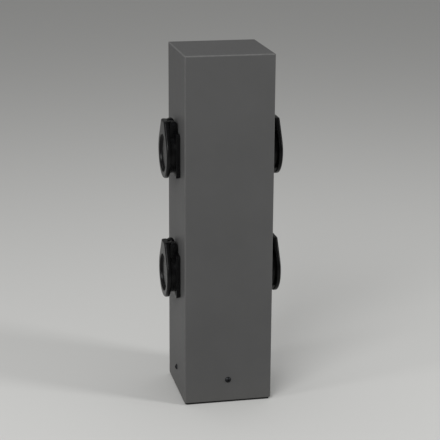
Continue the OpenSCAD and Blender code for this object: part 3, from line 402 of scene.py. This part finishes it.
by_angle = smooth_by_angle(ROUND_BELOW)
housings = [nodes[n] for n in nodes if n.startswith("socket_housing")]
for housing in housings:
    shade_round(housing, by_angle)
print(len(housings), "housings with round collars")

# %% [markdown]
# ## Where a socket sits
# All four sockets are the same moulding. A point of one is written the way a fitter sees it: out
# from the face of the column, across the face, and up from the socket's centre. One function turns
# that into the shared frame; on the left face the whole socket is turned half round the post.

# %% Socket places
# The column's half width, then each socket's side and the height of its centre, in mm
FACE = 50
SOCKETS = {"left_upper": (-1, 284), "left_lower": (-1, 144.5),
           "right_upper": (1, 284), "right_lower": (1, 144.5)}


def seat(out, across, up, socket):
    """A point of a socket, in mm from the column's face and the socket's centre, in the shared frame."""
    side, height = SOCKETS[socket]
    return Vector((side * (FACE + out), side * across, height + up)) * MM


def piece_from(name, mesh, slot, body, replaced):
    """A finished object from a mesh or curve: dressed, riding on its body and standing for a solid."""
    piece = bpy.data.objects.new(name, mesh)
    scene.collection.objects.link(piece)
    dress(piece, slot)
    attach(piece, body)
    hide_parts(replaced)
    return piece


print("socket centres at", [tuple(round(x, 4) for x in seat(0, 0, 0, s)) for s in SOCKETS])

# %% [markdown]
# ## The lid, seen from the front
# Each lid is a disc 57 mm across whose rim carries a raised ring, with a dished and slightly domed
# middle, and a tab on top that runs over to the hinge. Its outline is an arc, two straight tangents
# and the tab's rounded corners. A flat cylinder with a bevel would miss the tangents and the way the
# ring's rounding runs on around the tab, so the lid is lofted: the outline is one loop of points
# with their outward directions, the dish is made of circles, and every loop has the same number of
# points, so neighbouring loops join with quads.

# %% Lid outline
# Sizes in mm. Radii and heights are seen from the front, around the socket's centre
LID_R = 28.5
TAB_TOP, TAB_CORNER_R = 37.1, 3.0
TAB_CORNER = Vector((8.0, TAB_TOP - TAB_CORNER_R))
# The tangents touch the disc this far above the horizontal
LEAN = math.atan2(TAB_CORNER.y, TAB_CORNER.x) - math.acos((LID_R - TAB_CORNER_R) / TAB_CORNER.length)
# The tab's back is stepped above this height, and the back's own rounding has this radius
TAB_STEP_UP, BACK_EDGE_R = 25.0, 1.0
ARC_STEPS, CORNER_STEPS = 84, 6
# Where a straight side has its points, as shares of its length: below, close by and above the step
SIDE_BELOW, STEP_GAP, SIDE_ABOVE = (0.15, 0.3), 0.005, (0.6, 0.75, 0.9)


def way(angle):
    """The direction at this angle, seen from the front."""
    return Vector((math.cos(angle), math.sin(angle)))


def arc(start, stop, steps):
    """Angles from start to stop in equal steps, both ends among them."""
    return [start + (stop - start) * k / steps for k in range(steps + 1)]


def lid_spokes():
    """(outline point, outward direction, angle of its spoke on the dish's circles) around the lid."""
    spokes = [(LID_R * way(angle), way(angle), angle)
              for angle in arc(math.pi - LEAN, 2 * math.pi + LEAN, ARC_STEPS)]
    start, end = LID_R * way(LEAN), TAB_CORNER + TAB_CORNER_R * way(LEAN)
    step = (TAB_STEP_UP + BACK_EDGE_R * math.sin(LEAN) - start.y) / (end.y - start.y)
    shares = (*SIDE_BELOW, step - STEP_GAP, step + STEP_GAP, *SIDE_ABOVE)
    sides = [start.lerp(end, share) for share in shares]
    turns = [way(angle) for angle in arc(LEAN, math.pi / 2, CORNER_STEPS)]
    corner = [TAB_CORNER + TAB_CORNER_R * turn for turn in turns]
    up = way(math.pi / 2)
    half = list(zip(sides + corner, [way(LEAN)] * len(sides) + turns))
    half.append((Vector((TAB_CORNER.x / 2, TAB_TOP)), up))
    mirrored = [(Vector((-p.x, p.y)), Vector((-d.x, d.y))) for p, d in reversed(half)]
    tab = half + [(Vector((0.0, TAB_TOP)), up)] + mirrored
    # the tab's spokes share the rest of the circle by their way along the outline
    reach, lengths = start, [0.0]
    for p, _ in tab:
        lengths.append(lengths[-1] + (p - reach).length)
        reach = p
    whole = lengths[-1] + (Vector((-start.x, start.y)) - reach).length
    for (p, d), length in zip(tab, lengths[1:]):
        spokes.append((p, d, LEAN + (math.pi - 2 * LEAN) * length / whole))
    return spokes


spokes = lid_spokes()
print(len(spokes), "spokes; tangents leave the disc at", round(math.degrees(LEAN), 1), "degrees")

# %% [markdown]
# ## The lid's section
# The loops follow the section of the moulding from the middle of the dome outwards, over the ring,
# round the edge and back across the hidden side: dome, a 1 mm fillet, the dish's sloping wall, a
# 1.5 mm roll onto the ring, the 2 mm outer rounding, then the back with its seal groove, its shallow
# recess and the flat pad in the middle. The tab's back is 0.8 mm lower than the disc's.

# %% Lid section sizes
# In mm; an out is a distance from the face of the column
LID_BACK, LID_FRONT, TAB_BACK = 10.8, 15.8, 10.0
DISH_R, DISH_FLOOR, DOME_RISE, WALL_SLOPE = 20.5, 12.8, 0.8, 0.2
FILLET_R, ROLL_R, EDGE_R = 1.0, 1.5, 2.0
SEAL_OUTER_R, SEAL_INNER_R, SEAL_FLOOR = 23.0, 20.5, 12.2
RECESS_R, RECESS_FLOOR, PAD_R, PAD_RING_R = 19, 11.4, 9.5, 4
DOME_RINGS = (2, 5, 8, 11, 14, 16.5, 18.5)
FILLET_STEPS, ROLL_STEPS, EDGE_STEPS, BACK_STEPS = 6, 7, 8, 4
FITTING_ROUNDS = 8
# The dome is a part of a large sphere of this radius, whose centre lies behind the lid
DOME_CURVE = (DISH_R ** 2 + DOME_RISE ** 2) / (2 * DOME_RISE)
DOME_CENTRE = DISH_FLOOR + DOME_RISE - DOME_CURVE


def dome(radius):
    """How far out the dome is at this radius."""
    return DOME_CENTRE + math.sqrt(DOME_CURVE ** 2 - radius ** 2)


def wall_radius(out):
    """The radius of the dish's sloping wall this far out."""
    return DISH_R + WALL_SLOPE * (out - DISH_FLOOR)


def back_of(point):
    """How far out the lid's back is at this point: the tab's is set back."""
    return TAB_BACK if point.y > TAB_STEP_UP else LID_BACK


print("the dome curves with a radius of", round(DOME_CURVE), "mm")

# %% [markdown]
# ## Loops along the section
# A loop is a list of (out, across, up) points, one for each spoke. Inside the ring it is a circle,
# outside it keeps a distance from the outline. Across the back, two loops lie on the tab's step where
# a spoke crosses it, and part of the way in to the seal elsewhere.

# %% Lid loops
# Half the distance between the two loops at the step, in mm, and where they lie elsewhere
STEP_HALF = 0.02
STEP_SHARES = (0.35, 0.7)
RING_SHARES = (0.08, 0.5, 0.92)


def circle_loop(radius, out):
    """A circle around the socket's centre."""
    return [(out, radius * math.cos(a), radius * math.sin(a)) for _, _, a in spokes]


def edge_loop(inset, out):
    """A loop that runs inside the outline by inset. out may be a number or a function of the point."""
    loop = []
    for p, d, _ in spokes:
        q = p - inset * d
        loop.append((out(q) if callable(out) else out, q.x, q.y))
    return loop


def between(a, b, t):
    """The loop a share t of the way from loop a to loop b."""
    return [tuple(x + (y - x) * t for x, y in zip(p, q)) for p, q in zip(a, b)]


def back_step(level, out, share):
    """A loop at the tab's step where a spoke crosses it, and this share of the way in elsewhere."""
    loop = []
    for p, d, a in spokes:
        outer, inner = p - BACK_EDGE_R * d, SEAL_OUTER_R * way(a)
        on_tab = outer.y > TAB_STEP_UP
        t = min(1.0, max(0.0, (outer.y - level) / (outer.y - inner.y))) if on_tab else share
        q = outer.lerp(inner, t)
        loop.append((out if on_tab else LID_BACK, q.x, q.y))
    return loop


def lid_loops():
    """All the loops of the lid, from the middle of its front over the edge to the middle of its back."""
    loops = [circle_loop(r, dome(r)) for r in DOME_RINGS]
    slope = math.atan(WALL_SLOPE)
    # the fillet touches the dome and the wall: a few rounds of fitting find its centre
    reach = DISH_R - FILLET_R
    for _ in range(FITTING_ROUNDS):
        out = DOME_CENTRE + math.sqrt((DOME_CURVE + FILLET_R) ** 2 - reach ** 2)
        reach = wall_radius(out) - FILLET_R / math.cos(slope)
    foot = math.asin(reach / (DOME_CURVE + FILLET_R))
    for a in arc(-math.pi / 2 - foot, -slope, FILLET_STEPS):
        loops.append(circle_loop(reach + FILLET_R * math.cos(a), out + FILLET_R * math.sin(a)))
    roll_out = LID_FRONT - ROLL_R
    roll_reach = wall_radius(roll_out) + ROLL_R / math.cos(slope)
    for a in arc(math.pi - slope, math.pi / 2, ROLL_STEPS):
        loops.append(circle_loop(roll_reach + ROLL_R * math.cos(a), roll_out + ROLL_R * math.sin(a)))
    ring, rim = loops[-1], edge_loop(EDGE_R, LID_FRONT)
    loops += [between(ring, rim, share) for share in RING_SHARES]
    for a in arc(0, math.pi / 2, EDGE_STEPS):
        loops.append(edge_loop(EDGE_R * (1 - math.sin(a)), LID_FRONT - EDGE_R * (1 - math.cos(a))))
    for a in arc(0, math.pi / 2, BACK_STEPS):
        rise = BACK_EDGE_R * (1 - math.sin(a))
        loops.append(edge_loop(BACK_EDGE_R * (1 - math.cos(a)), lambda q, rise=rise: back_of(q) + rise))
    loops.append(back_step(TAB_STEP_UP + STEP_HALF, TAB_BACK, STEP_SHARES[0]))
    loops.append(back_step(TAB_STEP_UP - STEP_HALF, LID_BACK, STEP_SHARES[1]))
    for radius, out in ((SEAL_OUTER_R, LID_BACK), (SEAL_OUTER_R, SEAL_FLOOR),
                        (SEAL_INNER_R, SEAL_FLOOR), (SEAL_INNER_R, LID_BACK),
                        (RECESS_R, LID_BACK), (RECESS_R, RECESS_FLOOR),
                        (PAD_R, RECESS_FLOOR), (PAD_R, LID_BACK), (PAD_RING_R, LID_BACK)):
        loops.append(circle_loop(radius, out))
    return loops


loops = lid_loops()
print(len(loops), "loops of", len(loops[0]), "points")

# %% [markdown]
# ## Skinning the lid and its knuckles
# bmesh turns the loops into faces, with a fan in the middle of the front and of the back. The two
# knuckles that carry the lid on its pin are prisms with a half-round end. They are part of the same
# moulding, so they go into the same mesh, sunk into the tab.

# %% Lid mesh
def skin(mesh, loops, front_out, back_out, socket):
    """Joins loops with quads and closes both ends with a fan."""
    rows = [[mesh.verts.new(seat(*p, socket)) for p in loop] for loop in loops]
    count = len(rows[0])
    for inner, outer in zip(rows, rows[1:]):
        for k in range(count):
            mesh.faces.new((inner[k], outer[k], outer[(k + 1) % count], inner[(k + 1) % count]))
    for row, out in ((rows[0], front_out), (rows[-1], back_out)):
        middle = mesh.verts.new(seat(out, 0, 0, socket))
        for k in range(count):
            mesh.faces.new((middle, row[k], row[(k + 1) % count]))


def prism(mesh, outline, from_across, to_across, socket):
    """A prism across the socket with this (out, up) outline."""
    ends = [[mesh.verts.new(seat(out, across, up, socket)) for out, up in outline]
            for across in (from_across, to_across)]
    for end in ends:
        mesh.faces.new(end)
    for k in range(len(outline)):
        n = (k + 1) % len(outline)
        mesh.faces.new((ends[0][k], ends[0][n], ends[1][n], ends[1][k]))


# The hinge's axis and barrel, and where a knuckle starts and ends across the socket, in mm
HINGE_OUT, HINGE_UP, BARREL_R = 5.8, 33.5, 3.6
ARM_INNER, ARM_OUTER = 3.4, 8.2
# How far a knuckle is sunk into the tab, and how far its top there lies below the barrel's
KNUCKLE_SINK, KNUCKLE_DROP = 1, 0.3
BARREL_STEPS, DOUBLES_MM, SHARP_ABOVE = 16, 0.001, 40
knuckle = [(HINGE_OUT - BARREL_R * math.sin(a), HINGE_UP + BARREL_R * math.cos(a))
           for a in arc(0, math.pi, BARREL_STEPS)]
knuckle += [(TAB_BACK + KNUCKLE_SINK, HINGE_UP - BARREL_R),
            (TAB_BACK + KNUCKLE_SINK, HINGE_UP + BARREL_R - KNUCKLE_DROP)]


def lid_mesh(socket):
    """The moulded lid of one socket, with its knuckles."""
    mesh = bmesh.new()
    skin(mesh, loops, dome(0), LID_BACK, socket)
    for way_across in (-1, 1):
        prism(mesh, knuckle, way_across * ARM_INNER, way_across * ARM_OUTER, socket)
    bmesh.ops.remove_doubles(mesh, verts=mesh.verts, dist=DOUBLES_MM * MM)
    bmesh.ops.recalc_face_normals(mesh, faces=mesh.faces)
    data = bpy.data.meshes.new(f"lid_{socket}")
    mesh.to_mesh(data)
    mesh.free()
    data.shade_smooth()
    data.set_sharp_from_angle(angle=math.radians(SHARP_ABOVE))
    return data


for socket in SOCKETS:
    lid = piece_from(f"moulded_lid_{socket}", lid_mesh(socket), "black_plastic",
                     f"{socket}_lid", f"lid_{socket}")
    print(lid.name, len(lid.data.polygons), "faces")

# %% [markdown]
# ## The lid spring
# A torsion spring of 0.6 mm stainless wire sits on the hinge pin and shuts the lid. The solid
# is a coarse tube, so here a curve follows the same wire with four times as many points and gets
# its round section from the curve's own bevel: five turns, and a straight leg at each end.

# %% Lid springs
WIRE_R, COIL_R, COIL_PITCH, TURNS, LEG = 0.3, 1.8, 1.1, 5, 3.4
POINTS_A_TURN = 32


def spring_curve(socket):
    """The wire of one lid's spring as a curve."""
    points = [(HINGE_OUT + LEG, -TURNS / 2 * COIL_PITCH, HINGE_UP + COIL_R)]
    for k in range(TURNS * POINTS_A_TURN + 1):
        angle = math.pi / 2 + 2 * math.pi * k / POINTS_A_TURN
        points.append((HINGE_OUT + COIL_R * math.cos(angle), (k / POINTS_A_TURN - TURNS / 2) * COIL_PITCH,
                       HINGE_UP + COIL_R * math.sin(angle)))
    points.append((HINGE_OUT - LEG, TURNS / 2 * COIL_PITCH, HINGE_UP + COIL_R))
    curve = bpy.data.curves.new(f"spring_{socket}", "CURVE")
    curve.dimensions = "3D"
    curve.bevel_depth = WIRE_R * MM
    curve.bevel_resolution = 3
    curve.use_fill_caps = True
    wire = curve.splines.new("POLY")
    wire.points.add(len(points) - 1)
    for spot, point in zip(wire.points, points):
        spot.co = (*seat(*point, socket), 1.0)
    wire.use_smooth = True
    return curve


for socket in SOCKETS:
    spring = piece_from(f"wound_spring_{socket}", spring_curve(socket), "spring_steel",
                        "post", f"lid_spring_{socket}")
    print(spring.name, len(spring.data.splines[0].points), "points")

# %% [markdown]
# ## Floor and background
# The post stands on a plain pale floor. The floor is one large disc, and the world behind it has the
# same pale tone for the camera, for glossy and for see-through rays, so that no wall is needed and
# the post can be looked at from every side. Other rays meet a dimmer world, which is the studio's
# general light, so the background's brightness never falls on the post.

# %% Floor and world
PALE = "#cacac8"
FLOOR_R, FLOOR_POINTS = 12, 96
GENERAL_LIGHT, SEEN_LIGHT = 0.34, 0.36

ground = bmesh.new()
bmesh.ops.create_circle(ground, cap_ends=True, segments=FLOOR_POINTS, radius=FLOOR_R)
floor_mesh = bpy.data.meshes.new("floor")
ground.to_mesh(floor_mesh)
ground.free()
floor = bpy.data.objects.new("floor", floor_mesh)
scene.collection.objects.link(floor)
floor_finish = bpy.data.materials.new("pale_floor")
floor_finish.use_nodes = True
floor_surface = floor_finish.node_tree.nodes["Principled BSDF"]
floor_surface.inputs["Base Color"].default_value = linear(PALE)
floor_surface.inputs["Roughness"].default_value = 0.9
floor_surface.inputs["Specular IOR Level"].default_value = 0.1
floor_mesh.materials.append(floor_finish)

world = bpy.data.worlds.new("studio")
scene.world = world
world.use_nodes = True
general = world.node_tree.nodes["Background"]
general.inputs["Color"].default_value = (1, 1, 1, 1)
general.inputs["Strength"].default_value = GENERAL_LIGHT
seen = add(world, "Background", {"Color": linear(PALE), "Strength": SEEN_LIGHT})
rays = add(world, "LightPath")
glossy = add(world, "Math", {0: rays.outputs["Is Camera Ray"], 1: rays.outputs["Is Glossy Ray"]},
             operation="MAXIMUM")
clear = add(world, "Math", {0: glossy.outputs[0], 1: rays.outputs["Is Transmission Ray"]},
            operation="MAXIMUM")
blend = add(world, "MixShader", {0: clear.outputs[0], 1: general.outputs[0], 2: seen.outputs[0]})
world.node_tree.links.new(blend.outputs[0], world.node_tree.nodes["World Output"].inputs["Surface"])
print("floor", floor.dimensions.x, "m across")

# %% [markdown]
# ## Studio light
# Four soft boxes: a large one high at the front left, which shades the column from top to foot,
# a narrow weak one at the left for the rims of the left-hand lids, a narrow one at the right for the
# outline of the right-hand lids, and a large one right above. The light line on the cap's front edge
# is a painted highlight in the coat. Their power is set so that the coat, written as #4d4d4d or
# level 77, comes out at about 80 on the front of the column.

# %% Soft boxes
def soft_box(name, at, towards, wide, high, power):
    """A rectangular lamp: place and aim in metres, width and height in metres, power in watts."""
    light = bpy.data.lights.new(name, "AREA")
    light.shape = "RECTANGLE"
    light.size, light.size_y = wide, high
    light.energy = power
    box = bpy.data.objects.new(name, light)
    box.location = at
    box.rotation_euler = (Vector(towards) - Vector(at)).to_track_quat("-Z", "Y").to_euler()
    scene.collection.objects.link(box)


soft_box("front_left_box", (-1.1, -1.6, 1.7), (0, 0, 0.3), 1.2, 1.2, 28)
soft_box("left_box", (-1.5, -0.45, 0.6), (0, 0, 0.2), 0.25, 0.9, 5)
soft_box("right_box", (1.35, -0.85, 1.1), (0, 0, 0.25), 0.3, 0.8, 11)
soft_box("top_box", (0.0, 0.25, 1.7), (0, 0, 0.3), 1.2, 1.2, 5)

scene.view_settings.view_transform = "Standard"
print(len(bpy.data.lights), "soft boxes")
